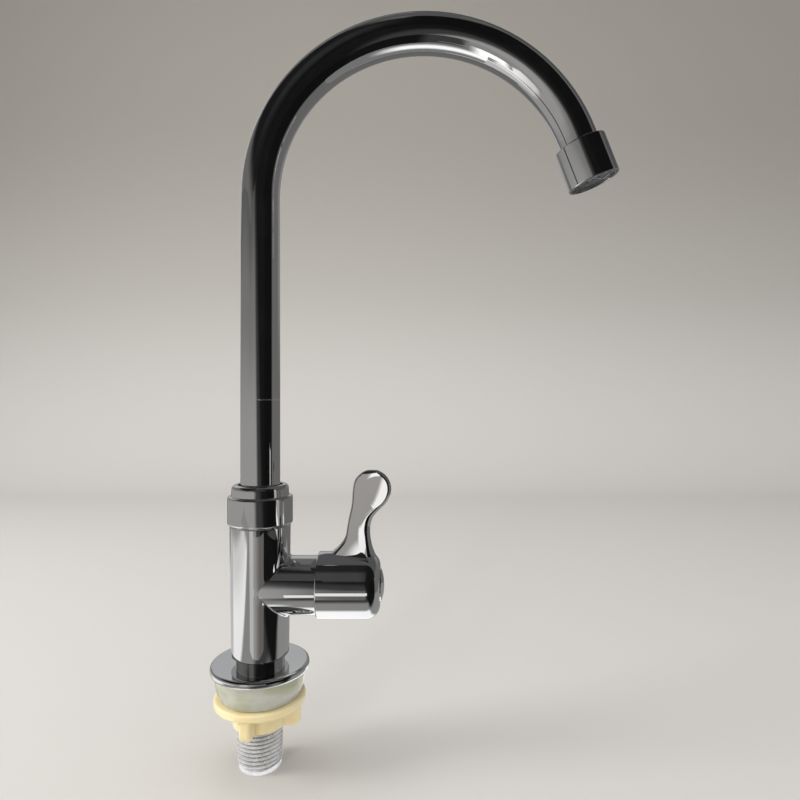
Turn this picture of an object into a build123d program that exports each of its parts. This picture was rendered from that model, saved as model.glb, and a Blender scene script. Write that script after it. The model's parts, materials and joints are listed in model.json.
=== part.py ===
from build123d import *
import os
from math import asin, cos, radians, sin

# A single-lever kitchen tap. The worktop's top face is z = 0, the body stands up along +Z,
# and at rest the lever's axis and the gooseneck both point along +X. Sizes are in millimetres.

# Fits
running_gap = 0.08
assembly_gap = 0.05
seal_gap = 0.04
free_gap = 0.3

# Edges
crisp_edge = 0.3
soft_edge = 0.5
tool_overrun = 1.0

# Inlet shank, a G1/2 pipe thread
thread_radius = 10.4775
shank_bore_radius = 7.0
shank_below_deck = 33.5
shank_end_band = 2.8
shank_end_step = 0.8
shank_relief_width = 0.8
shank_relief_depth = 0.7

# Parts that clamp the worktop
gasket_height = 12.4
gasket_inner_wall = 2.4
gasket_groove_width = 4.2
gasket_outer_wall = 3.0
gasket_taper = 2.0
gasket_bulge = 0.95
gasket_foot_round = 1.0
gasket_groove_depth = 8.0
gasket_ridge_height = 0.5
gasket_ridge_width = 1.4
flange_overhang = 2.4
flange_height = 2.8
flange_lip = 0.6
flange_edge_round = 1.4
flange_lip_round = 1.1
flange_wall = 1.6
nut_disc_radius = 21.1
nut_disc_thickness = 3.7
nut_disc_upper_round = 1.0
nut_disc_lower_round = 1.3
nut_hub_wall = 2.1
nut_hub_length = 9.8
nut_hub_round = 0.8
nut_wing_setback = 1.3
nut_wing_thickness = 5.0
nut_wing_round = 3.8
nut_wing_soft_edge = 1.2
nut_wing_root = 2.0
nut_wing_count = 4
nut_wing_first_angle = -8

# Valve body
foot_wall = 2.75
spigot_wall = 0.8
spigot_height = 3.8
inlet_socket_depth = 14.0
inlet_socket_margin = 0.4
inlet_bore_height = 17.0
inlet_roof = 5.2
channel_radius = 4.2
channel_offset = 3.0
seat_plane = 5.0
chamber_gap = 1.0
chamber_end = 17.5
chamber_ledge = 1.08
chamber_roof = 5.0
outlet_radius = 3.0
outlet_offset = 6.8
outlet_overlap = 3.0
neck_wall = 2.0
neck_height = 9.2
shoulder_ledge = 1.4
boss_wall = 2.97
boss_reach = 27.0
boss_blend = 1.2
shoulder_round = 0.6

# Swivel spout
tube_radius = 9.1
tube_wall = 1.0
riser_height = 213.5
bend_radius = 77.0
bend_angle = 158.5
tip_straight = 3.6
tube_seat_depth = 13.5
tube_seat_step = 0.3
ferrule_wall = 1.37
ferrule_flange_setback = 0.4
ferrule_flange_thickness = 2.0
ferrule_end_gap = 2.0
ring_land = 8.0
ring_groove_width = 2.0
ring_groove_depth = 1.55
ring_groove_heights = (2.6, 5.9)
friction_washer_thickness = 1.2
friction_washer_clearance = 0.6

# Collar nut
collar_wall = 2.35
collar_roof = 1.0
collar_ledge = 1.7
collar_dome_height = 5.3
collar_dome_taper = 0.3
collar_dome_round = 2.1
collar_mouth_clearance = 1.25
collar_mouth_round = 0.4
collar_ring_round = 1.0

# Outlet nozzle
nozzle_wall = 2.85
nozzle_length = 19.0
nozzle_tube_depth = 6.0
nozzle_web = 1.2
nozzle_web_reach = 1.9
nozzle_washer_thickness = 1.4
nozzle_mouth_wall = 1.1
aerator_recess = 2.0
aerator_wall = 1.1
aerator_plate = 1.4
aerator_hole_radius = 0.7
aerator_hole_circles = ((4.2, 8), (7.4, 14))
aerator_rib_count = 8
aerator_rib_width = 0.9
aerator_grille_depth = 2.2
aerator_hub_radius = 2.6
aerator_ring_radii = (6.0, 7.0)
aerator_overlap = 0.2
mesh_thickness = 0.4
mesh_depth = 4.0

# Headwork
cartridge_cavity_radius = 7.2
cartridge_barrel_wall = 1.2
cartridge_end_gap = 1.8
cartridge_flange_width = 1.82
cartridge_flange_thickness = 1.8
cartridge_groove_setback = 2.6
hexagon_inset = 2.3
hexagon_length = 5.7
nose_wall = 2.4
nose_length = 5.5
window_overlap = 0.3
window_length = 4.6
window_width = 9.0
seal_thickness = 3.4
seal_bore_radius = 4.3
disc_thickness = 2.8
port_inner_radius = 2.0
port_wall = 1.3
port_angle = 76
driver_thickness = 2.4
key_width = 3.0
key_depth = 1.0
key_setback = 1.0
stem_radius = 4.92
stem_groove_depth = 1.0
stem_groove_width = 1.6
stem_groove_depths = (3.2, 6.8)
thrust_ring_thickness = 0.75
clip_thickness = 0.9
clip_setback = 1.0
clip_opening = 70
spline_root_radius = 3.6
spline_tooth_height = 0.4
spline_teeth = 20
spline_root_share = 0.36
spline_tip_share = 0.14
spline_setback = 2.2
spindle_collar_height = 0.5
spline_length = 7.8

# Lever handle
cup_wall = 2.4
cup_clearance = 0.6
cup_end_round = 6.5
cup_end_thickness = 3.7
cup_floor_step = 0.7
hub_wall = 2.95
hub_setback = 0.4
hub_pocket_depth = 1.1
web_gap = 0.4
web_thickness = 2.2
screw_radius = 1.95
screw_head_radius = 3.6
screw_head_height = 2.2
screw_head_round = 0.9
screw_length = 8.5
cap_radius = 7.4
cap_edge = 0.5
cap_height = 1.9
cap_plug_radius = 6.1
cap_plug_depth = 1.3
cap_wall = 1.1
head_centre_reach = 25.2
head_centre_height = 45.1
head_radius = 9.0
head_thin_edge = 1.7
head_thick_edge = 3.1
head_slices = (30, 50, 66, 78)
head_slimming = 0.6
head_dish_radius = 24.0
head_dish_depth = 0.75
head_dish_rise = 0.8

# The lever's blade at rising heights above the lever's axis: left side and right side,
# measured from the cup's mouth, and the half thickness at each of those two sides
blade_stations = (
    (9.5, 3.2, 28.9, 5.0, 7.0),
    (14.4, 5.3, 26.8, 3.8, 5.9),
    (17.6, 8.7, 25.5, 2.8, 4.8),
    (21.4, 12.0, 24.6, 2.1, 4.2),
    (27.1, 13.5, 24.3, 1.8, 3.9),
    (32.4, 14.5, 26.0, 1.7, 3.8),
    (38.4, 15.7, 31.6, 1.7, 3.5),
    (
        head_centre_height,
        head_centre_reach - head_radius,
        head_centre_reach + head_radius,
        head_thin_edge,
        head_thick_edge,
    ),
)

# Radii that follow from the inlet thread
shank_clearance_radius = thread_radius + free_gap
gasket_groove_inner = shank_clearance_radius + gasket_inner_wall
gasket_groove_outer = gasket_groove_inner + gasket_groove_width
gasket_top_radius = gasket_groove_outer + gasket_outer_wall
gasket_bottom_radius = gasket_top_radius - gasket_taper
flange_radius = gasket_top_radius + flange_overhang
nut_hub_radius = thread_radius + nut_hub_wall
foot_radius = thread_radius + assembly_gap + foot_wall
spigot_radius = thread_radius + assembly_gap + spigot_wall

# Radii that follow from the spout's tube
ferrule_radius = tube_radius + assembly_gap + ferrule_wall
spout_socket_radius = ferrule_radius + running_gap
neck_radius = spout_socket_radius + neck_wall
shoulder_radius = neck_radius + shoulder_ledge
collar_bore_radius = neck_radius + assembly_gap
collar_radius = collar_bore_radius + collar_wall
collar_dome_radius = collar_radius - collar_ledge
collar_mouth_radius = tube_radius + collar_mouth_clearance
nozzle_radius = tube_radius + assembly_gap + nozzle_wall
nozzle_web_radius = tube_radius - nozzle_web_reach
nozzle_mouth_radius = nozzle_radius - nozzle_mouth_wall

# Radii that follow from the headwork
disc_radius = cartridge_cavity_radius - 2 * assembly_gap
cartridge_barrel_radius = cartridge_cavity_radius + cartridge_barrel_wall
chamber_radius = cartridge_barrel_radius + chamber_gap
cartridge_thread_radius = chamber_radius + chamber_ledge
cartridge_flange_radius = cartridge_thread_radius + cartridge_flange_width
boss_radius = cartridge_thread_radius + assembly_gap + boss_wall
cup_radius = cartridge_flange_radius + cup_clearance + cup_wall
stem_bore_radius = stem_radius + running_gap
nose_radius = stem_bore_radius + nose_wall
spline_tip_radius = spline_root_radius + spline_tooth_height
hub_radius = spline_tip_radius + assembly_gap + hub_wall

# Levels above the worktop
flange_level = gasket_height + flange_height
foot_level = flange_level + spigot_height
inlet_floor = foot_level + inlet_socket_depth
inlet_bore_top = foot_level + inlet_bore_height
axis_level = inlet_bore_top + inlet_roof + chamber_radius
spout_floor = axis_level + chamber_radius + chamber_roof
ferrule_foot = spout_floor + ferrule_end_gap
tube_foot = ferrule_foot + ring_land
neck_top = tube_foot + tube_seat_depth
shoulder_level = neck_top - neck_height
ferrule_top = neck_top + ferrule_flange_thickness
collar_seat = ferrule_top + friction_washer_thickness
bend_level = foot_level + riser_height

# Stations along the lever's axis
fixed_disc_at = seat_plane + seal_thickness
moving_disc_at = fixed_disc_at + disc_thickness
driver_at = moving_disc_at + disc_thickness
thrust_ring_at = driver_at + driver_thickness
cartridge_floor = thrust_ring_at + thrust_ring_thickness + assembly_gap
hexagon_start = boss_reach + cartridge_flange_thickness
nose_start = hexagon_start + hexagon_length
nose_end = nose_start + nose_length
spline_start = nose_end + spline_setback
spindle_end = spline_start + spline_length
cup_mouth = boss_reach + free_gap
hub_start = spline_start + hub_setback
web_start = spindle_end + web_gap
screw_seat = web_start + web_thickness
cup_end = screw_seat + cup_end_thickness

# The lever's axis: local z runs along +X and local x points up
lever_axis = Plane(origin=(0, 0, axis_level), x_dir=(0, 0, 1), z_dir=(1, 0, 0))


def ring_profile(points, rounds=None):
    """A closed outline of (radius, height) points, each corner with its own rounding."""
    outline = FilletPolyline(*points, radius=rounds or [0] * len(points), close=True)
    return make_face(outline.edges())


def turned(points, rounds=None):
    """The solid that an outline sweeps about +Z."""
    return revolve(Plane.XZ * ring_profile(points, rounds), axis=Axis.Z)


def tube(outer, inner, start, end):
    """A plain ring about +Z between two heights."""
    return turned([(inner, start), (outer, start), (outer, end), (inner, end)])


def rod(radius, start, end):
    """A plain round bar about +Z between two heights."""
    return Pos(0, 0, start) * Cylinder(radius, end - start, align=(Align.CENTER, Align.CENTER, Align.MIN))


def seal_ring(groove_radius, bore_radius, height):
    """An O-ring that lies between a groove's floor and the bore round it."""
    section = (bore_radius - groove_radius) / 2 - seal_gap
    return Pos(0, 0, height) * Torus((bore_radius + groove_radius) / 2, section)


def sector(inner, outer, angle, middle, start, end):
    """A slice of a ring, centred on the angle `middle`."""
    slice_face = Plane.XZ * Rectangle(outer - inner, end - start, align=(Align.MIN, Align.MIN))
    placed = Pos(inner, 0, start) * slice_face
    return Rot(0, 0, middle - angle / 2) * revolve(placed, axis=Axis.Z, revolution_arc=angle)


def threaded_shank():
    bottom = -shank_below_deck
    band_top = bottom + shank_end_band
    band_radius = thread_radius - shank_end_step
    relief_radius = thread_radius - shank_relief_depth
    relief_top = -(nut_disc_thickness + nut_hub_length) + shank_relief_width / 2
    relief_bottom = relief_top - shank_relief_width
    top = inlet_floor - inlet_socket_margin
    return turned(
        [
            (shank_bore_radius, bottom),
            (band_radius, bottom),
            (band_radius, band_top),
            (thread_radius, band_top),
            (thread_radius, relief_bottom),
            (relief_radius, relief_bottom),
            (relief_radius, relief_top),
            (thread_radius, relief_top),
            (thread_radius, top),
            (shank_bore_radius, top),
        ],
        [0, soft_edge, 0, crisp_edge, 0, 0, 0, 0, crisp_edge, 0],
    )


def base_flange():
    lip_radius = gasket_top_radius + free_gap
    lip_level = gasket_height - flange_lip
    seat_radius = gasket_groove_outer + free_gap
    ceiling = flange_level - flange_wall
    return turned(
        [
            (shank_clearance_radius, ceiling),
            (seat_radius, ceiling),
            (seat_radius, gasket_height),
            (lip_radius, gasket_height),
            (lip_radius, lip_level),
            (flange_radius, lip_level),
            (flange_radius, flange_level),
            (shank_clearance_radius, flange_level),
        ],
        [0, 0, 0, 0, 0, flange_lip_round, flange_edge_round, 0],
    )


def deck_gasket():
    groove_floor = gasket_height - gasket_groove_depth
    middle_radius = (gasket_top_radius + gasket_bottom_radius) / 2 + gasket_bulge
    top_outer, foot_outer = (gasket_top_radius, gasket_height), (gasket_bottom_radius, 0)
    top_inner, foot_inner = (shank_clearance_radius, gasket_height), (shank_clearance_radius, 0)
    outline = [
        ThreePointArc(foot_outer, (middle_radius, gasket_height / 2), top_outer),
        Line(top_outer, top_inner),
        Line(top_inner, foot_inner),
        Line(foot_inner, foot_outer),
    ]
    section = make_face([edge for run in outline for edge in run.edges()])
    foot_corner = section.vertices().group_by(Axis.Y)[0].sort_by(Axis.X)[-1]
    body = revolve(Plane.XZ * fillet(foot_corner, gasket_foot_round), axis=Axis.Z)
    body -= tube(gasket_groove_outer, gasket_groove_inner, groove_floor, gasket_height + tool_overrun)
    first_recess = shank_clearance_radius + gasket_ridge_width
    while first_recess + 2 * gasket_ridge_width < gasket_bottom_radius:
        body -= tube(first_recess + gasket_ridge_width, first_recess, -tool_overrun, gasket_ridge_height)
        first_recess += 2 * gasket_ridge_width
    return body


def nut_wing():
    """One wing along +X, with soft edges all round its free end."""
    top, bottom = -nut_disc_thickness / 2, -(nut_disc_thickness + nut_hub_length)
    root, reach = nut_hub_radius - nut_wing_root, nut_disc_radius - nut_wing_setback
    corners = [(root, top), (reach, top), (reach, bottom), (root, bottom)]
    side = FilletPolyline(*corners, radius=[0, 0, nut_wing_round, 0], close=True)
    wing = extrude(Plane.XZ * make_face(side.edges()), amount=nut_wing_thickness / 2, both=True)
    rim = [edge for edge in wing.faces().filter_by(Axis.Y).edges() if edge.center().Z < top]
    return fillet([edge for edge in rim if edge.center().X > root], nut_wing_soft_edge)


def back_nut():
    bottom = -(nut_disc_thickness + nut_hub_length)
    disc = turned(
        [(0, 0), (nut_disc_radius, 0), (nut_disc_radius, -nut_disc_thickness), (0, -nut_disc_thickness)],
        [0, nut_disc_upper_round, nut_disc_lower_round, 0],
    )
    hub_top = -nut_disc_thickness / 2
    hub = turned(
        [(0, hub_top), (nut_hub_radius, hub_top), (nut_hub_radius, bottom), (0, bottom)],
        [0, 0, nut_hub_round, 0],
    )
    nut = disc + hub
    wing = nut_wing()
    for number in range(nut_wing_count):
        nut += Rot(0, 0, nut_wing_first_angle + number * 360 / nut_wing_count) * wing
    return nut - rod(thread_radius + running_gap, bottom - tool_overrun, tool_overrun)


def valve_body():
    barrel = turned(
        [
            (0, flange_level),
            (spigot_radius, flange_level),
            (spigot_radius, foot_level),
            (foot_radius, foot_level),
            (shoulder_radius, shoulder_level),
            (neck_radius, shoulder_level),
            (neck_radius, neck_top),
            (0, neck_top),
        ],
        [0, 0, 0, crisp_edge, shoulder_round, 0, soft_edge, 0],
    )
    boss = lever_axis * rod(boss_radius, 0, boss_reach)
    body = barrel + boss
    body = fillet(new_edges(barrel, boss, combined=body), boss_blend)
    channel = Pos(-channel_offset, 0, 0) * rod(channel_radius, inlet_bore_top - tool_overrun, axis_level)
    body -= rod(thread_radius + assembly_gap, flange_level - tool_overrun, inlet_floor)
    body -= rod(shank_bore_radius, foot_level, inlet_bore_top)
    body -= channel + Pos(-channel_offset, 0, axis_level) * Sphere(channel_radius)
    body -= lever_axis * rod(channel_radius, -channel_offset, seat_plane + tool_overrun)
    body -= lever_axis * rod(chamber_radius, seat_plane, chamber_end)
    body -= lever_axis * rod(cartridge_thread_radius + assembly_gap, chamber_end, boss_reach + tool_overrun)
    outlet_start = axis_level + chamber_radius - outlet_overlap
    body -= Pos(outlet_offset, 0, 0) * rod(outlet_radius, outlet_start, spout_floor + tool_overrun)
    body -= rod(spout_socket_radius, spout_floor, neck_top + tool_overrun)
    return body


def spout_collar_nut():
    lower = shoulder_level + free_gap
    ledge = collar_seat + collar_roof
    top = ledge + collar_dome_height
    return turned(
        [
            (collar_bore_radius, lower),
            (collar_radius, lower),
            (collar_radius, ledge),
            (collar_dome_radius, ledge),
            (collar_dome_radius - collar_dome_taper, top),
            (collar_mouth_radius, top),
            (collar_mouth_radius, collar_seat),
            (collar_bore_radius, collar_seat),
        ],
        [0, collar_ring_round, collar_ring_round, crisp_edge, collar_dome_round, collar_mouth_round, 0, 0],
    )


def friction_washer():
    outer, inner = neck_radius - ferrule_flange_setback, tube_radius + friction_washer_clearance
    return tube(outer, inner, ferrule_top, collar_seat)


def spout_ferrule():
    tube_bore = tube_radius + assembly_gap
    water_bore = tube_radius - tube_wall - tube_seat_step
    collar = neck_radius - ferrule_flange_setback
    sleeve = turned(
        [
            (water_bore, ferrule_foot),
            (ferrule_radius, ferrule_foot),
            (ferrule_radius, neck_top),
            (collar, neck_top),
            (collar, ferrule_top),
            (tube_bore, ferrule_top),
            (tube_bore, tube_foot),
            (water_bore, tube_foot),
        ],
        [0, soft_edge, 0, 0, crisp_edge, 0, 0, 0],
    )
    for height in ring_groove_heights:
        middle = ferrule_foot + height
        sleeve -= tube(
            ferrule_radius + tool_overrun,
            ferrule_radius - ring_groove_depth,
            middle - ring_groove_width / 2,
            middle + ring_groove_width / 2,
        )
    return sleeve


def spout_o_rings():
    floor_radius = ferrule_radius - ring_groove_depth
    places = [ferrule_foot + height for height in ring_groove_heights]
    return [seal_ring(floor_radius, spout_socket_radius, place) for place in places]


def spout_path():
    """The tube's centre line: riser, gooseneck, and the straight end that enters the nozzle."""
    riser = Line((0, 0, tube_foot), (0, 0, bend_level))
    bend = Plane.XZ * CenterArc((bend_radius, bend_level), bend_radius, 180, -bend_angle)
    tail = Line(bend @ 1, bend @ 1 + (bend % 1) * (tip_straight + nozzle_tube_depth))
    return riser, bend, tail


def nozzle_plane():
    """Where the nozzle starts; local z runs down the outlet."""
    bend = spout_path()[1]
    return Plane(origin=bend @ 1 + (bend % 1) * tip_straight, x_dir=(0, 1, 0), z_dir=bend % 1)


def spout_tube():
    path = Wire(edges=[run.edges()[0] for run in spout_path()])
    start = Plane(origin=path @ 0, z_dir=path % 0)
    outside = sweep(start * Circle(tube_radius), path=path)
    inside = sweep(start * Circle(tube_radius - tube_wall), path=path)
    return outside - inside


def nozzle_levels():
    """Depths down the nozzle: the web that carries the washer, its far side, the aerator's end."""
    web = nozzle_tube_depth + nozzle_washer_thickness
    return web, web + nozzle_web, nozzle_length - aerator_recess


def nozzle_housing():
    web, chamber, _ = nozzle_levels()
    tube_bore = tube_radius + assembly_gap
    return nozzle_plane() * turned(
        [
            (tube_bore, 0),
            (nozzle_radius, 0),
            (nozzle_radius, nozzle_length),
            (nozzle_mouth_radius, nozzle_length),
            (nozzle_mouth_radius, chamber),
            (nozzle_web_radius, chamber),
            (nozzle_web_radius, web),
            (tube_bore, web),
        ],
        [0, soft_edge, soft_edge, crisp_edge, 0, 0, 0, 0],
    )


def nozzle_washer():
    web = nozzle_levels()[0]
    return nozzle_plane() * tube(tube_radius - assembly_gap, nozzle_web_radius, nozzle_tube_depth, web)


def aerator_insert():
    _, start, end = nozzle_levels()
    outer = nozzle_mouth_radius - assembly_gap
    inner = outer - aerator_wall
    filled = inner + aerator_overlap
    insert = tube(outer, inner, start, end) + rod(filled, start, start + aerator_plate)
    for circle_radius, count in aerator_hole_circles:
        hole = rod(aerator_hole_radius, start - tool_overrun, start + aerator_plate + tool_overrun)
        insert -= [spot * hole for spot in PolarLocations(circle_radius, count)]
    grille = end - aerator_grille_depth
    ring_inner, ring_outer = aerator_ring_radii
    insert += rod(aerator_hub_radius, grille, end)
    insert += tube(ring_outer, ring_inner, grille, end)
    rib = Pos(filled / 2, 0, (grille + end) / 2) * Box(filled, aerator_rib_width, end - grille)
    for number in range(aerator_rib_count):
        insert += Rot(0, 0, number * 360 / aerator_rib_count) * rib
    return nozzle_plane() * insert


def aerator_mesh():
    _, start, _ = nozzle_levels()
    edge = nozzle_mouth_radius - aerator_wall - 2 * assembly_gap
    middle = start + mesh_depth
    return nozzle_plane() * rod(edge, middle, middle + mesh_thickness)


def cartridge_housing():
    barrel_end = seat_plane + cartridge_end_gap
    window_start = moving_disc_at - window_overlap
    flats = 2 * (cartridge_flange_radius - hexagon_inset)
    body = rod(cartridge_barrel_radius, barrel_end, chamber_end + 2 * assembly_gap)
    body += rod(cartridge_thread_radius, chamber_end + assembly_gap, boss_reach)
    body += rod(cartridge_flange_radius, boss_reach, hexagon_start)
    hexagon = RegularPolygon(flats / 2, 6, major_radius=False)
    body += Pos(0, 0, hexagon_start) * extrude(hexagon, hexagon_length)
    body += rod(nose_radius, nose_start, nose_end)
    body -= rod(cartridge_cavity_radius, barrel_end - tool_overrun, cartridge_floor)
    body -= rod(stem_bore_radius, cartridge_floor - tool_overrun, nose_end + tool_overrun)
    window = Box(4 * cartridge_barrel_radius, window_width, window_length)
    body -= Pos(0, 0, window_start + window_length / 2) * window
    groove_at = boss_reach - cartridge_groove_setback
    body -= tube(
        cartridge_thread_radius + tool_overrun,
        cartridge_thread_radius - ring_groove_depth,
        groove_at - ring_groove_width / 2,
        groove_at + ring_groove_width / 2,
    )
    return lever_axis * body


def cartridge_o_ring():
    floor_radius = cartridge_thread_radius - ring_groove_depth
    bore_radius = cartridge_thread_radius + assembly_gap
    return lever_axis * seal_ring(floor_radius, bore_radius, boss_reach - cartridge_groove_setback)


def seat_seal():
    return lever_axis * tube(disc_radius - assembly_gap, seal_bore_radius, seat_plane, fixed_disc_at)


def fixed_ceramic_disc():
    disc = rod(disc_radius, fixed_disc_at, moving_disc_at)
    below, above = fixed_disc_at - tool_overrun, moving_disc_at + tool_overrun
    for middle in (90, 270):
        disc -= sector(port_inner_radius, disc_radius - port_wall, port_angle, middle, below, above)
    return lever_axis * disc


def moving_ceramic_disc():
    disc = rod(disc_radius, moving_disc_at, driver_at)
    below, above = moving_disc_at - tool_overrun, driver_at + tool_overrun
    for middle in (0, 180):
        disc -= sector(port_inner_radius, disc_radius + tool_overrun, port_angle, middle, below, above)
    slot = Box(2 * (disc_radius + tool_overrun), key_width + 2 * assembly_gap, 2 * key_depth)
    return lever_axis * (disc - Pos(0, 0, driver_at) * Rot(0, 0, 90) * slot)


def stem_groove_places():
    return [cartridge_floor + depth for depth in stem_groove_depths]


def spindle():
    shape = rod(disc_radius - 2 * assembly_gap, driver_at, thrust_ring_at)
    key_length = 2 * (disc_radius - key_setback)
    key = Box(key_length, key_width, key_depth - assembly_gap, align=(Align.CENTER, Align.CENTER, Align.MAX))
    shape += Pos(0, 0, driver_at) * Rot(0, 0, 90) * key
    clip_at = nose_end + assembly_gap
    clip_far = clip_at + clip_thickness + 2 * assembly_gap
    shape += rod(stem_radius, thrust_ring_at, clip_at)
    shape += rod(spline_root_radius, clip_at, clip_far)
    shape += rod(spline_tip_radius + spindle_collar_height, clip_far, spline_start)
    shape += Pos(0, 0, spline_start) * splined_bar(0, spindle_end - spline_start)
    for middle in stem_groove_places():
        shape -= tube(
            stem_radius + tool_overrun,
            stem_radius - stem_groove_depth,
            middle - stem_groove_width / 2,
            middle + stem_groove_width / 2,
        )
    hole_end = spindle_end - screw_length - tool_overrun
    return lever_axis * (shape - rod(screw_radius + assembly_gap, hole_end, spindle_end + tool_overrun))


def splined_bar(growth, length):
    """A bar with straight-flanked teeth; `growth` opens it up into the socket that takes it."""
    root = spline_root_radius + growth
    tip = spline_tip_radius + growth
    tooth = 360 / spline_teeth
    corners = []
    for number in range(spline_teeth):
        for radius, share in (
            (root, -spline_root_share),
            (tip, -spline_tip_share),
            (tip, spline_tip_share),
            (root, spline_root_share),
        ):
            turn = radians((number + share) * tooth)
            corners.append((radius * cos(turn), radius * sin(turn)))
    return extrude(make_face(Polyline(*corners, close=True).edges()), length)


def spindle_o_rings():
    floor_radius = stem_radius - stem_groove_depth
    places = stem_groove_places()
    return [lever_axis * seal_ring(floor_radius, stem_bore_radius, place) for place in places]


def spindle_clip():
    start = nose_end + 2 * assembly_gap
    end = start + clip_thickness
    ring = tube(nose_radius - clip_setback, spline_root_radius + assembly_gap, start, end)
    below, above = start - tool_overrun, end + tool_overrun
    return lever_axis * (ring - sector(spline_root_radius / 2, nose_radius, clip_opening, 180, below, above))


def thrust_ring():
    end = thrust_ring_at + thrust_ring_thickness
    return lever_axis * tube(disc_radius - 2 * assembly_gap, stem_bore_radius, thrust_ring_at, end)


def blade_slice(height, near, far, thin, thick):
    """One level section of the lever: round at both sides, thin on the left and full on the right."""
    left, right = cup_mouth + near, cup_mouth + far
    lean = asin((thick - thin) / (right - thick - left - thin))
    normal_x, normal_y = -sin(lean), cos(lean)
    left_centre, right_centre = left + thin, right - thick
    left_x, left_y = left_centre + thin * normal_x, thin * normal_y
    right_x, right_y = right_centre + thick * normal_x, thick * normal_y
    outline = [
        Line((left_x, -left_y), (right_x, -right_y)),
        ThreePointArc((right_x, -right_y), (right, 0), (right_x, right_y)),
        Line((right_x, right_y), (left_x, left_y)),
        ThreePointArc((left_x, left_y), (left, 0), (left_x, -left_y)),
    ]
    edges = [edge for run in outline for edge in run.edges()]
    return Pos(0, 0, axis_level + height) * make_face(edges)


def lever_blade():
    slices = [blade_slice(*station) for station in blade_stations]
    for turn in head_slices:
        half_width = head_radius * cos(radians(turn))
        slimming = cos(radians(turn)) ** head_slimming
        slices.append(
            blade_slice(
                head_centre_height + head_radius * sin(radians(turn)),
                head_centre_reach - half_width,
                head_centre_reach + half_width,
                head_thin_edge * slimming,
                head_thick_edge * slimming,
            )
        )
    return loft(slices) - head_dish()


def head_dish():
    """The ball that leaves a shallow thumb dish in the front of the lever's head."""
    face = -(head_thin_edge + head_thick_edge) / 2
    across = cup_mouth + head_centre_reach
    height = axis_level + head_centre_height + head_dish_rise
    return Pos(across, face + head_dish_depth - head_dish_radius, height) * Sphere(head_dish_radius)


def lever_handle():
    cup = turned(
        [(0, cup_mouth), (cup_radius, cup_mouth), (cup_radius, cup_end), (0, cup_end)],
        [0, soft_edge, cup_end_round, 0],
    )
    handle = lever_axis * cup + lever_blade()
    inner_radius = cup_radius - cup_wall
    hollow = rod(inner_radius, cup_mouth - tool_overrun, hub_start)
    pocket_start = hub_start - tool_overrun
    hollow += tube(inner_radius - cup_floor_step, hub_radius, pocket_start, web_start + hub_pocket_depth)
    socket = Pos(0, 0, pocket_start) * splined_bar(assembly_gap, web_start - pocket_start)
    recess = rod(cap_plug_radius + assembly_gap, screw_seat, cup_end + tool_overrun)
    screw_hole = rod(screw_radius + free_gap, web_start - tool_overrun, cup_end)
    return handle - lever_axis * (hollow + socket + recess + screw_hole)


def handle_screw():
    top = screw_seat + screw_head_height
    head = turned(
        [(0, screw_seat), (screw_head_radius, screw_seat), (screw_head_radius, top), (0, top)],
        [0, crisp_edge, screw_head_round, 0],
    )
    return lever_axis * (head + rod(screw_radius, screw_seat - screw_length, screw_seat))


def handle_cap():
    edge, top = cup_end + cap_edge, cup_end + cap_height
    outline = [
        Line((0, top), (0, cup_end)),
        Line((0, cup_end), (cap_radius, cup_end)),
        Line((cap_radius, cup_end), (cap_radius, edge)),
        TangentArc((0, top), (cap_radius, edge), tangent=(1, 0)),
    ]
    dome = revolve(Plane.XZ * make_face([piece for run in outline for piece in run.edges()]), axis=Axis.Z)
    plug = tube(cap_plug_radius, cap_plug_radius - cap_wall, cup_end - cap_plug_depth, cup_end)
    return lever_axis * (dome + plug)


nodes = {
    "valve_body": valve_body(),
    "threaded_shank": threaded_shank(),
    "base_flange": base_flange(),
    "deck_gasket": deck_gasket(),
    "spout_collar_nut": spout_collar_nut(),
    "friction_washer": friction_washer(),
    "cartridge_housing": cartridge_housing(),
    "cartridge_o_ring": cartridge_o_ring(),
    "fixed_ceramic_disc": fixed_ceramic_disc(),
    "seat_seal": seat_seal(),
    "lever_handle": lever_handle(),
    "handle_cap": handle_cap(),
    "handle_screw": handle_screw(),
    "spindle": spindle(),
    "spindle_clip": spindle_clip(),
    "spindle_o_rings": spindle_o_rings(),
    "thrust_ring": thrust_ring(),
    "moving_ceramic_disc": moving_ceramic_disc(),
    "spout_tube": spout_tube(),
    "spout_ferrule": spout_ferrule(),
    "spout_o_rings": spout_o_rings(),
    "nozzle_housing": nozzle_housing(),
    "nozzle_washer": nozzle_washer(),
    "aerator_insert": aerator_insert(),
    "aerator_mesh": aerator_mesh(),
    "back_nut": back_nut(),
}

os.makedirs("parts", exist_ok=True)
for name, shape in nodes.items():
    export_step(Compound(children=shape) if isinstance(shape, list) else shape, f"parts/{name}.step")
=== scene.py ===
import json
import math

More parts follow.
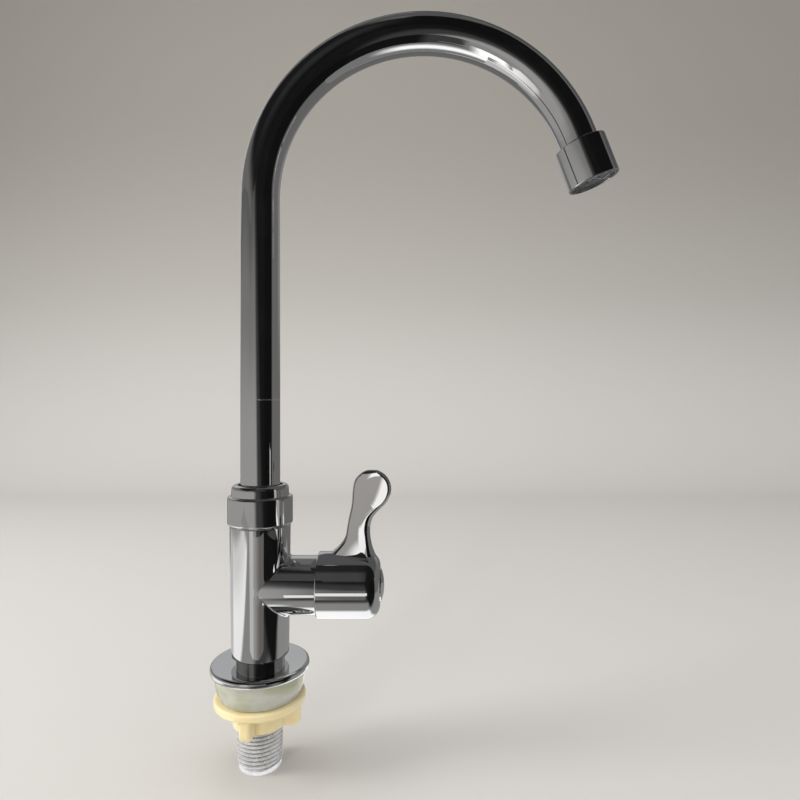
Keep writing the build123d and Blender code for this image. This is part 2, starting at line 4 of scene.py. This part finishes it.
import bpy
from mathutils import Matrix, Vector


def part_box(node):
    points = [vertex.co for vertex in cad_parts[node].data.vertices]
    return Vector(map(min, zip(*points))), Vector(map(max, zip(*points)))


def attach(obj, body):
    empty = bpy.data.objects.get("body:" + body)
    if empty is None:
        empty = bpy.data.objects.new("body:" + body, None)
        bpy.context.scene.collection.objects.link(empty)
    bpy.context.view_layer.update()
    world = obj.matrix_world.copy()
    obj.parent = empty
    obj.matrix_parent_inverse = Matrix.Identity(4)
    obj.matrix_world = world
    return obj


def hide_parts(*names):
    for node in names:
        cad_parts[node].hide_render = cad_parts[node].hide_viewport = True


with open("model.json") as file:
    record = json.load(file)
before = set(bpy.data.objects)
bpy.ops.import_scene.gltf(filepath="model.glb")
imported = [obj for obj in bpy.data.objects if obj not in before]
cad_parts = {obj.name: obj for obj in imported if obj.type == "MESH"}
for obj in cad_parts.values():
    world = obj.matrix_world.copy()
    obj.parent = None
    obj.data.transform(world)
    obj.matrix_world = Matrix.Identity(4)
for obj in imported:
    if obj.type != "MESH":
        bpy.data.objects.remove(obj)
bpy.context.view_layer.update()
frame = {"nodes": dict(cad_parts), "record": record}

nodes = frame["nodes"]
scene = bpy.context.scene
MM = 0.001

# Camera, at the photograph's place: level, square to the gooseneck's plane, facing the middle of the tap
CAMERA_PLACE = (0.0656, -0.274, 0.1374)
FRAME_PIXELS = 800
FOCAL_PIXELS = 582.8
SENSOR_WIDTH = 36.0
NEAR_CLIP, FAR_CLIP = 0.01, 20

# Inlet tail: a G1/2 thread with rounded crests and roots, above a smooth end band that stands in from it
THREAD_RADIUS = 10.4775 * MM
THREAD_PITCH = 1.814 * MM
THREAD_DEPTH = 1.16 * MM
THREAD_FLAT = 0.12  # share of half a pitch that stays level, at the crest and at the root
RUNOUT = 1.2 * THREAD_PITCH
END_BAND = 2.8 * MM
END_BAND_STEP = 0.8 * MM
END_CHAMFER = 0.5 * MM
BAND_SHOULDER = 0.4 * MM
FIRST_TURN_DROP = 0.6 * END_BAND_STEP
TAIL_BORE = 7.0 * MM
TAIL_SIDES = 96
STEPS_PER_PITCH = 12

# Studio floor, which sweeps up into a backdrop
FLOOR_GAP = 0.02 * MM
FLOOR_REACH = 4.0
SWEEP_START = 0.75
SWEEP_RADIUS = 0.45
SWEEP_STEPS = 24
BACKDROP_TOP = 3.0
DIMMEST_HEIGHT = 0.9

# Materials that differ only in a dark colour, a light colour and their roughness
PLAIN_PLASTICS = {
    "grey_plastic": ((0.16, 0.17, 0.18), (0.24, 0.25, 0.26), 0.42),
    "white_plastic": ((0.78, 0.78, 0.75), (0.86, 0.86, 0.84), 0.38),
    "rubber": ((0.018, 0.018, 0.018), (0.035, 0.035, 0.034), 0.6),
    "ceramic": ((0.85, 0.85, 0.82), (0.9, 0.9, 0.88), 0.14),
}
TURNED_METALS = {
    "brass": ((0.74, 0.56, 0.28), (0.84, 0.68, 0.38), 0.26),
    "steel": ((0.55, 0.56, 0.57), (0.66, 0.67, 0.68), 0.3),
}


def new_mesh(name, vertices, faces, smooth=True):
    mesh = bpy.data.meshes.new(name)
    mesh.from_pydata(vertices, [], faces)
    mesh.validate()
    for polygon in mesh.polygons:
        polygon.use_smooth = smooth
    made = bpy.data.objects.new(name, mesh)
    scene.collection.objects.link(made)
    return made


class Nodes:
    """A node tree that is built up one node at a time."""

    def __init__(self, tree):
        self.tree = tree

    def node(self, kind, **settings):
        made = self.tree.nodes.new(kind)
        for name, value in settings.items():
            setattr(made, name, value)
        return made

    def link(self, output, socket):
        self.tree.links.new(output, socket)

    def coordinates(self, kind):
        return self.node("ShaderNodeTexCoord").outputs[kind]

    def split(self, vector):
        """The parts of a vector, by the names X, Y and Z."""
        made = self.node("ShaderNodeSeparateXYZ")
        self.link(vector, made.inputs[0])
        return made.outputs

    def math(self, operation, *values):
        made = self.node("ShaderNodeMath", operation=operation)
        for number, value in enumerate(values):
            if isinstance(value, (int, float)):
                made.inputs[number].default_value = value
            else:
                self.link(value, made.inputs[number])
        return made.outputs[0]

    def spread(self, source, low, high, start=0.3, end=0.7):
        """Maps the values from start to end on to those from low to high, with soft ends."""
        spread = self.node("ShaderNodeMapRange", interpolation_type="SMOOTHSTEP")
        for name, value in zip(("From Min", "From Max", "To Min", "To Max"), (start, end, low, high)):
            spread.inputs[name].default_value = value
        self.link(source, spread.inputs["Value"])
        return spread.outputs["Result"]

    def within(self, source, start, end, soft):
        """A mask that is 1 between two values and 0 outside them, soft at both."""
        rise = self.spread(source, 0, 1, start - soft, start + soft)
        return self.both(rise, self.spread(source, 1, 0, end - soft, end + soft))

    def both(self, first, second):
        """A mask that is 1 where two others are."""
        return self.math("MULTIPLY", first, second)

    def over(self, under, mask, colour):
        """Lays a colour over another where a mask is 1."""
        mix = self.node("ShaderNodeMix", data_type="RGBA")
        self.link(mask, mix.inputs["Factor"])
        for value, name in ((under, "A"), (colour, "B")):
            if isinstance(value, tuple):
                mix.inputs[name].default_value = (*value, 1)
            else:
                self.link(value, mix.inputs[name])
        return mix.outputs["Result"]


class Shader(Nodes):
    """A material whose nodes are wired to one principled surface."""

    def __init__(self, name):
        self.material = bpy.data.materials.new(name)
        self.material.use_nodes = True
        super().__init__(self.material.node_tree)
        self.surface = self.tree.nodes["Principled BSDF"]
        self.place = self.coordinates("Object")

    def fixed(self, **values):
        """Sets sockets of the surface that are the same all over."""
        for name, value in values.items():
            self.surface.inputs[name.replace("_", " ")].default_value = value

    def grain(self, per_metre, detail=3.0, stretch=(1, 1, 1)):
        """A noise pattern from 0 to 1."""
        mapping = self.node("ShaderNodeMapping")
        mapping.inputs["Scale"].default_value = stretch
        self.link(self.place, mapping.inputs["Vector"])
        noise = self.node("ShaderNodeTexNoise")
        noise.inputs["Scale"].default_value = per_metre
        noise.inputs["Detail"].default_value = detail
        self.link(mapping.outputs["Vector"], noise.inputs["Vector"])
        return noise.outputs["Fac"]

    def blend(self, source, first, second, start=0.3, end=0.7):
        """A colour between two, by a 0 to 1 pattern."""
        return self.over(first, self.spread(source, 0, 1, start, end), second)

    def colour(self, output):
        self.link(output, self.surface.inputs["Base Color"])

    def roughness(self, output):
        self.link(output, self.surface.inputs["Roughness"])

    def bump(self, *heights):
        """Stacks bumps, each a pattern and its depth in metres."""
        normal = None
        for pattern, depth in heights:
            bump = self.node("ShaderNodeBump")
            bump.inputs["Distance"].default_value = depth
            self.link(pattern, bump.inputs["Height"])
            if normal:
                self.link(normal, bump.inputs["Normal"])
            normal = bump.outputs["Normal"]
        self.link(normal, self.surface.inputs["Normal"])


def chrome():
    """Bright plating with a faint orange peel and dull smears."""
    made = Shader("chrome")
    made.fixed(Metallic=1.0)
    smears = made.grain(70, detail=6)
    made.colour(made.blend(made.grain(25, detail=4), (0.76, 0.765, 0.77), (0.82, 0.82, 0.81)))
    made.roughness(made.spread(smears, 0.025, 0.10, start=0.42, end=0.8))
    orange_peel, haze = made.grain(160, detail=2), made.grain(2600, detail=2)
    made.bump((orange_peel, 0.010 * MM), (haze, 0.0006 * MM))
    return made.material


def zinc_thread():
    """Bare die-cast zinc with a cut thread, with painted shade: grey painted down in the roots, the
    crests left bright.
    """
    made = Shader("zinc_thread")
    made.fixed(Metallic=0.55)
    place = made.split(made.place)
    square = made.math("MULTIPLY", place["X"], place["X"])
    outward = made.math("SQRT", made.math("MULTIPLY_ADD", place["Y"], place["Y"], square))
    thread_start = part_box("threaded_shank")[0].z + END_BAND
    soft = 0.3 * MM
    threaded = made.spread(place["Z"], 0, 1, thread_start, thread_start + soft)
    root = THREAD_RADIUS - THREAD_DEPTH
    bright_from = THREAD_RADIUS - 0.4 * THREAD_DEPTH
    # Painted shade: the roots of the thread are painted dull grey, standing in for the shade down in
    # them.
    painted_root_shade = made.both(made.spread(outward, 1, 0, root, bright_from), threaded)
    metal = made.blend(made.grain(220, detail=3), (0.74, 0.745, 0.76), (0.88, 0.88, 0.88))
    made.colour(made.over(metal, painted_root_shade, (0.36, 0.365, 0.38)))
    made.roughness(made.spread(made.grain(300, detail=3), 0.24, 0.34))
    made.bump((made.grain(500, detail=2), 0.002 * MM))
    return made.material


def cream_plastic():
    """Moulded, slightly translucent, with uneven yellowing."""
    made = Shader("cream_plastic")
    made.fixed(Subsurface_Weight=0.35, Subsurface_Radius=(1.0, 0.7, 0.35), Subsurface_Scale=3 * MM)
    made.fixed(IOR=1.49)
    made.colour(made.blend(made.grain(60, detail=3), (0.88, 0.74, 0.43), (0.94, 0.84, 0.56)))
    made.roughness(made.spread(made.grain(500, detail=4), 0.30, 0.46))
    made.bump((made.grain(1400, detail=3), 0.012 * MM))
    return made.material


def clear_gasket():
    """Soft clear PVC with a yellow-green cast and flow lines round it."""
    made = Shader("clear_gasket")
    made.fixed(Transmission_Weight=0.50, IOR=1.45)
    rings = made.grain(90, detail=4, stretch=(0.8, 0.8, 1.8))
    made.colour(made.blend(rings, (0.80, 0.82, 0.62), (0.97, 0.98, 0.90), start=0.38, end=0.60))
    made.roughness(made.spread(made.grain(260, detail=4), 0.06, 0.20))
    made.bump((rings, 0.6 * MM), (made.grain(700, detail=3), 0.01 * MM))
    return made.material


def plain_plastic(name, dark, light, rough):
    """Moulded plastic, rubber or ceramic with a fine grain."""
    made = Shader(name)
    made.colour(made.blend(made.grain(200, detail=4), dark, light))
    made.roughness(made.spread(made.grain(1200, detail=4), rough - 0.06, rough + 0.06))
    made.bump((made.grain(3000, detail=3), 0.008 * MM))
    return made.material


def turned_metal(name, dark, light, rough):
    """Bare machined metal."""
    made = Shader(name)
    made.fixed(Metallic=1.0)
    made.colour(made.blend(made.grain(150, detail=4), dark, light))
    made.roughness(made.spread(made.grain(2500, detail=3), rough - 0.06, rough + 0.08))
    made.bump((made.grain(5000, detail=2), 0.006 * MM))
    return made.material


materials = {
    "chrome": chrome(),
    "zinc_thread": zinc_thread(),
    "cream_plastic": cream_plastic(),
    "clear_gasket": clear_gasket(),
}
for make, looks in ((plain_plastic, PLAIN_PLASTICS), (turned_metal, TURNED_METALS)):
    for name, (dark, light, rough) in looks.items():
        materials[name] = make(name, dark, light, rough)
for part in frame["record"]["subparts"]:
    nodes[part["node"]].material_slots[0].material = materials[part["material_slot"]]


def thread_height(turn):
    """The thread's rounded form over one pitch: 1 at the crest, 0 at the root."""
    from_root = abs((turn % 1) * 2 - 1)
    up = min(1, max(0, (from_root - THREAD_FLAT) / (1 - 2 * THREAD_FLAT)))
    return 0.5 - 0.5 * math.cos(math.pi * up)


def thread_radius(level, start, turn):
    """The thread's radius at a height and a part of a turn round, with lower crests where it starts."""
    fade = min(1, (level - start) / RUNOUT)
    depth = THREAD_DEPTH * (1 - thread_height(level / THREAD_PITCH - turn))
    return THREAD_RADIUS - min(THREAD_DEPTH, (1 - fade) * FIRST_TURN_DROP + depth)


def threaded_tail():
    """The inlet tail with its real helical thread, within the space of the plain CAD one."""
    low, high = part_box("threaded_shank")
    turns = [side / TAIL_SIDES for side in range(TAIL_SIDES)]
    band_top = low.z + END_BAND
    band_radius = THREAD_RADIUS - END_BAND_STEP
    step = THREAD_PITCH / STEPS_PER_PITCH
    end_band = (
        (TAIL_BORE, low.z),
        (band_radius - END_CHAMFER, low.z),
        (band_radius, low.z + END_CHAMFER),
        (band_radius, band_top - BAND_SHOULDER),
    )
    top = ((THREAD_RADIUS - THREAD_DEPTH, high.z), (TAIL_BORE, high.z))
    rings = [([radius] * TAIL_SIDES, level) for radius, level in end_band]
    for number in range(int((high.z - band_top) / step) + 1):
        level = band_top + number * step
        rings.append(([thread_radius(level, band_top, turn) for turn in turns], level))
    rings += [([radius] * TAIL_SIDES, level) for radius, level in top]
    vertices = []
    for radii, level in rings:
        for radius, turn in zip(radii, turns):
            angle = 2 * math.pi * turn
            vertices.append((radius * math.cos(angle), radius * math.sin(angle), level))
    faces = []
    for ring in range(len(rings)):
        above = (ring + 1) % len(rings)
        for side in range(TAIL_SIDES):
            beside = (side + 1) % TAIL_SIDES
            corners = ((ring, side), (ring, beside), (above, beside), (above, side))
            faces.append([row * TAIL_SIDES + column for row, column in corners])
    tail = new_mesh("inlet_tail", vertices, faces)
    tail.data.materials.append(materials["zinc_thread"])
    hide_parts("threaded_shank")
    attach(tail, "tap_body")


threaded_tail()
floor_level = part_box("threaded_shank")[0].z - FLOOR_GAP


def studio_paper():
    """Matt paper, pale on the floor, with painted shade that dims it up the backdrop."""
    made = Shader("studio_paper")
    made.fixed(Roughness=0.6, Specular_IOR_Level=0.2)
    # Painted shade: the paper is painted darker with height, up the backdrop.
    rise = made.spread(made.split(made.place)["Z"], 0, 1, floor_level, DIMMEST_HEIGHT)
    made.colour(made.over((0.62, 0.61, 0.595), rise, (0.36, 0.345, 0.32)))
    return made.material


def cyclorama():
    """A pale floor under the tail that sweeps up into a backdrop far behind."""
    profile = [(-FLOOR_REACH, floor_level), (SWEEP_START, floor_level)]
    for number in range(1, SWEEP_STEPS + 1):
        angle = math.pi / 2 * number / SWEEP_STEPS
        depth = SWEEP_START + SWEEP_RADIUS * math.sin(angle)
        profile.append((depth, floor_level + SWEEP_RADIUS * (1 - math.cos(angle))))
    profile.append((SWEEP_START + SWEEP_RADIUS, BACKDROP_TOP))
    vertices = [(x, y, z) for x in (-FLOOR_REACH, FLOOR_REACH) for y, z in profile]
    count = len(profile)
    faces = [(n, count + n, count + n + 1, n + 1) for n in range(count - 1)]
    sweep = new_mesh("studio_floor", vertices, faces)
    sweep.data.materials.append(studio_paper())
    sweep.visible_glossy = False


cyclorama()


def grey(level, warmth=0.0):
    return (level * (1 + warmth), level, level * (1 - warmth))


class Painter(Nodes):
    """Builds the colour of a reflector card in layers, by the place on it in metres."""

    def __init__(self, tree):
        super().__init__(tree)
        tree.nodes.clear()
        self.place = self.split(self.coordinates("Object"))

    def along(self, axis, lean):
        """The place along an axis. Lean, a share and another axis, adds that share of the other place."""
        if lean is None:
            return self.place[axis]
        share, other = lean
        return self.math("MULTIPLY_ADD", self.place[other], share, self.place[axis])

    def past(self, axis, start, end, lean=None):
        """A mask that rises from 0 to 1 between two places along an axis."""
        return self.spread(self.along(axis, lean), 0, 1, start, end)

    def before(self, axis, start, end, lean=None):
        """A mask that falls from 1 to 0 between two places along an axis."""
        return self.spread(self.along(axis, lean), 1, 0, start, end)

    def patch(self, under, colour, sides, depths, soft):
        """Lays a soft-edged rectangle of another tone on a level card."""
        across = self.within(self.place["X"], *sides, soft)
        backward = self.within(self.place["Y"], *depths, soft)
        return self.over(under, self.both(across, backward), colour)


def reflector(name, corners, paint):
    """A glowing card that shows only in reflections. Paint gives its colour, from a Painter."""
    card = new_mesh(name, corners, [(0, 1, 2, 3)], smooth=False)
    made = bpy.data.materials.new(name)
    made.use_nodes = True
    painter = Painter(made.node_tree)
    glow = painter.node("ShaderNodeEmission")
    painter.link(paint(painter), glow.inputs["Color"])
    painter.link(glow.outputs[0], painter.node("ShaderNodeOutputMaterial").inputs["Surface"])
    card.data.materials.append(made)
    card.visible_camera = False
    card.visible_diffuse = False
    card.visible_shadow = False
    card.visible_transmission = False


def level_corners(sides, depths, level):
    (left, right), (front, back) = sides, depths
    return [(left, front, level), (right, front, level), (right, back, level), (left, back, level)]


def front_corners(sides, depth, heights):
    (left, right), (low, high) = sides, heights
    return [(left, depth, low), (right, depth, low), (right, depth, high), (left, depth, high)]


def upright_corners(start, end, heights):
    low, high = heights
    return [(*start, low), (*end, low), (*end, high), (*start, high)]


# Paints, in metres. BEYOND stands for any place past a card's edge.
BEYOND = 2.0


def table_paint(card):
    """The floor as the plating shows it."""
    # Grey ground, dark in front at the right and almost black far right
    look = grey(0.28, 0.01)
    look = card.patch(look, grey(0.05), sides=(-0.02, BEYOND), depths=(-BEYOND, -0.095), soft=0.02)
    look = card.patch(look, grey(0.008), sides=(0.095, BEYOND), depths=(-BEYOND, -0.03), soft=0.02)
    # Lit floor to the left of a slanting edge: brightest near the tap, dimmer behind it and far out
    lit = card.over(grey(1.0, 0.01), card.before("X", -0.36, -0.18), grey(0.72, 0.02))
    lit = card.over(lit, card.past("Y", -0.02, 0.03, lean=(0.36, "X")), grey(0.56))
    lit = card.over(lit, card.before("X", -0.49, -0.37), grey(0.34, 0.02))
    edge = card.before("X", -0.110, -0.080, lean=(-0.45, "Y"))
    look = card.over(look, card.both(edge, card.past("Y", -0.37, -0.29)), lit)
    # Two lit places at the tail: in front at its left, and from under it to behind at its right
    look = card.patch(look, grey(0.95), sides=(-0.05, -0.004), depths=(-0.055, 0.03), soft=0.008)
    return card.patch(look, grey(1.15), sides=(-0.01, 0.085), depths=(-0.026, 0.10), soft=0.010)


def far_wall_paint(card):
    """A grey wall a metre off, darker with height."""
    look = card.over(grey(0.34, 0.02), card.past("Z", 0.02, 0.36), grey(0.20, 0.02))
    return card.over(look, card.past("Z", 0.34, 0.62), grey(0.11, 0.01))


def front_wall_paint(card):
    """The same wall in front, where it darkens softly to the right, sooner higher up."""
    look = far_wall_paint(card)
    look = card.over(look, card.past("X", -0.24, 0.0, lean=(0.45, "Z")), grey(0.048, 0.01))
    return card.over(look, card.past("X", 0.10, 0.42, lean=(0.9, "Z")), grey(0.009))


def front_board_paint(card):
    """A low board in front: pale at the left, darker to the right."""
    return card.over(grey(0.38, 0.03), card.past("X", -0.030, 0.030), grey(0.14, 0.05))


def overhead_paint(card):
    """The lit cards at the camera's height: white in the middle and to the front, grey at the edges."""
    look = grey(0.21)
    look = card.patch(look, grey(1.25), sides=(-0.040, 0.125), depths=(-0.010, 0.055), soft=0.024)
    return card.patch(look, grey(1.25, 0.02), sides=(-0.020, 0.031), depths=(-0.125, -0.005), soft=0.009)


def shade_paint(card):
    """The shades just under the lit cards, dark in soft bands from back to front."""
    look = card.over(grey(0.095), card.before("Y", -0.022, -0.008), grey(0.018))
    return card.over(look, card.before("Y", -0.070, -0.048), grey(0.065))


def lever_shade_paint(card):
    """The dark card that the cup's top shows: soft bands from back to front, darkest to the right."""
    look = card.over(grey(0.018), card.before("Y", -0.0200, -0.0155), grey(0.062))
    look = card.over(look, card.before("Y", -0.042, -0.034), grey(0.030))
    return card.over(look, card.past("X", 0.044, 0.056), grey(0.009))


def lever_card_paint(card):
    """The card that the lever shows: warm grey, with white places that make its broad bright strip."""
    left_of_slant = card.before("X", 0.0155, 0.0171, lean=(-0.35, "Z"))
    at_dish = card.both(left_of_slant, card.past("X", 0.0445, 0.0462))
    at_foot = card.both(card.past("X", 0.033, 0.040), card.before("Z", 0.0750, 0.0785))
    look = grey(0.36, 0.04)
    for place_lit in (at_dish, at_foot):
        look = card.over(look, place_lit, grey(1.08, 0.02))
    return look


def even_paint(colour):
    """A paint of one colour."""
    def paint(card):
        plain = card.node("ShaderNodeRGB")
        plain.outputs[0].default_value = (*colour, 1)
        return plain.outputs[0]

    return paint


# Surroundings that the plating shows: the floor, and walls a metre to the left and in front
TABLE_LEVEL = floor_level - 1 * MM
WALL_DISTANCE = 1.0
WALL_HEIGHTS = (-0.6, 0.62)
room_corner = (-WALL_DISTANCE, -WALL_DISTANCE)
table = level_corners(sides=(-0.50, 0.34), depths=(-0.50, 0.30), level=TABLE_LEVEL)
left_wall = upright_corners(start=room_corner, end=(-WALL_DISTANCE, 1.2), heights=WALL_HEIGHTS)
front_wall = front_corners(sides=(-WALL_DISTANCE, 0.75), depth=-WALL_DISTANCE, heights=WALL_HEIGHTS)
reflector("table_in_plating", table, table_paint)
reflector("far_wall_left", left_wall, far_wall_paint)
reflector("far_wall_front", front_wall, front_wall_paint)

# Low cards in front, as the body shows them: a lit post at the left of a board
board = front_corners(sides=(-0.035, 0.060), depth=-0.131, heights=(floor_level, 0.046))
post = front_corners(sides=(-0.064, -0.028), depth=-0.130, heights=(floor_level, 0.052))
reflector("front_board", board, front_board_paint)
reflector("lit_post_front", post, even_paint(grey(0.56, 0.02)))

# White rails just in front, which the boss and the cup show as bright lines along them
RAIL_DEPTH = -0.030
RAIL_MEET = 0.0250
white = even_paint(grey(0.95, 0.02))
boss_rail = front_corners(sides=(0.010, RAIL_MEET), depth=RAIL_DEPTH, heights=(0.0385, 0.0430))
cup_rail = front_corners(sides=(RAIL_MEET, 0.055), depth=RAIL_DEPTH, heights=(0.0445, 0.0485))
reflector("rail_at_boss", boss_rail, white)
reflector("rail_at_cup", cup_rail, white)

# A card that the lever shows, on a line out from the spout's axis, so that the collar sees only its edge.
# The shade under it keeps it out of the cup's top.
CARD_LEFT = 0.0275
lever_card = upright_corners(start=(CARD_LEFT, -0.0122), end=(0.086, -0.0396), heights=(0.0692, 0.112))
lever_shade = level_corners(sides=(CARD_LEFT, 0.090), depths=(-0.042, -0.0105), level=0.0690)
reflector("card_at_lever", lever_card, lever_card_paint)
reflector("shade_at_lever", lever_shade, lever_shade_paint)

# Cards at the camera's height, by their sides and depths. What is above them shows their lit top.
# What is below them shows the shade just under it.
EYE_LEVEL = CAMERA_PLACE[2]
SHADE_GAP = 0.02 * MM
EYE_LEVEL_CARDS = {
    "strip": ((0.0135, 0.24), (-0.045, 0.125)),
    "arm": ((-0.030, 0.042), (-0.150, -0.045)),
}
for name, (sides, depths) in EYE_LEVEL_CARDS.items():
    reflector(f"lit_{name}", level_corners(sides, depths, EYE_LEVEL), overhead_paint)
    reflector(f"shade_{name}", level_corners(sides, depths, EYE_LEVEL - SHADE_GAP), shade_paint)

LAMP_AIM = (0.06, 0, 0.13)


def area_light(name, place, size, watts, colour=(1, 1, 1)):
    """A soft lamp aimed at the tap, which the plating doesn't show."""
    lamp = bpy.data.lights.new(name, "AREA")
    lamp.shape = "RECTANGLE"
    lamp.size, lamp.size_y = size
    lamp.energy = watts
    lamp.color = colour
    made = bpy.data.objects.new(name, lamp)
    made.location = place
    made.rotation_euler = (Vector(LAMP_AIM) - Vector(place)).to_track_quat("-Z", "Y").to_euler()
    made.visible_glossy = False
    scene.collection.objects.link(made)


SUNLIT = (1.0, 0.98, 0.95)
WARM = (1.0, 0.97, 0.92)
area_light("window_left", (-1.05, -0.22, 0.62), size=(0.40, 0.8), watts=9.0, colour=SUNLIT)
area_light("strip_front_left", (-0.36, -0.86, 0.45), size=(0.10, 0.6), watts=1.6, colour=WARM)
area_light("soft_top", (0.1, 0.2, 1.5), size=(1.2, 0.8), watts=6.0)

# The room that the plating shows: a ground tone and soft-edged panels. A panel has its bearings and
# heights in degrees, how soft each of the two is, its tone, and a lean that lifts its left side.
# Bearings are 0 to the camera's side and positive to the right, and BACK is a degree past the seam.
BACK = 181
ROOM_TONE = grey(0.15, 0.02)
ROOM_PANELS = (
    ((95, BACK), (28, 72), (10, 6), grey(0.08), 0.0),
    ((140, BACK), (6, 42), (12, 6), grey(0.26, -0.02), 0.0),
    ((-BACK, -125), (6, 42), (8, 6), grey(0.46, -0.01), 0.0),
    ((-114, 10), (8, 64), (8, 6), grey(0.012), 0.30),
    ((-4, 83), (-80, 73), (5, 5), grey(0.006), 0.0),
    ((-40, -6), (30, 56), (10, 10), grey(0.028, -0.03), 0.0),
    ((-BACK, BACK), (76, 100), (1, 5), grey(0.09), 0.0),
)
DAYLIGHT = (0.80, 0.785, 0.76)


def studio_world():
    """Even daylight, but reflections show a room: dark in front, dim overhead, pale low at the back."""
    world = bpy.data.worlds.new("studio")
    world.use_nodes = True
    scene.world = world
    world.node_tree.nodes.clear()
    room = Nodes(world.node_tree)
    toward = room.split(room.coordinates("Generated"))
    camera_side = room.math("MULTIPLY", toward["Y"], -1)
    bearing = room.math("DEGREES", room.math("ARCTAN2", toward["X"], camera_side))
    height = room.math("DEGREES", room.math("ARCSINE", toward["Z"]))
    look = ROOM_TONE
    for bearings, heights, (side_soft, height_soft), tone, lean in ROOM_PANELS:
        level = room.math("MULTIPLY_ADD", bearing, lean, height)
        across = room.within(bearing, *bearings, side_soft)
        look = room.over(look, room.both(across, room.within(level, *heights, height_soft)), tone)
    reflected = room.node("ShaderNodeBackground")
    room.link(look, reflected.inputs["Color"])
    plain = room.node("ShaderNodeBackground")
    plain.inputs["Color"].default_value = (*DAYLIGHT, 1)
    mix = room.node("ShaderNodeMixShader")
    room.link(room.node("ShaderNodeLightPath").outputs["Is Glossy Ray"], mix.inputs["Fac"])
    room.link(plain.outputs[0], mix.inputs[1])
    room.link(reflected.outputs[0], mix.inputs[2])
    room.link(mix.outputs[0], room.node("ShaderNodeOutputWorld").inputs["Surface"])


studio_world()


def photo_camera():
    lens = bpy.data.cameras.new("photo_camera")
    lens.sensor_width = SENSOR_WIDTH
    lens.lens = FOCAL_PIXELS / FRAME_PIXELS * SENSOR_WIDTH
    lens.clip_start, lens.clip_end = NEAR_CLIP, FAR_CLIP
    camera = bpy.data.objects.new("photo_camera", lens)
    camera.location = CAMERA_PLACE
    camera.rotation_euler = (math.pi / 2, 0, 0)
    scene.collection.objects.link(camera)
    scene.camera = camera


photo_camera()
scene.view_settings.view_transform = "Standard"
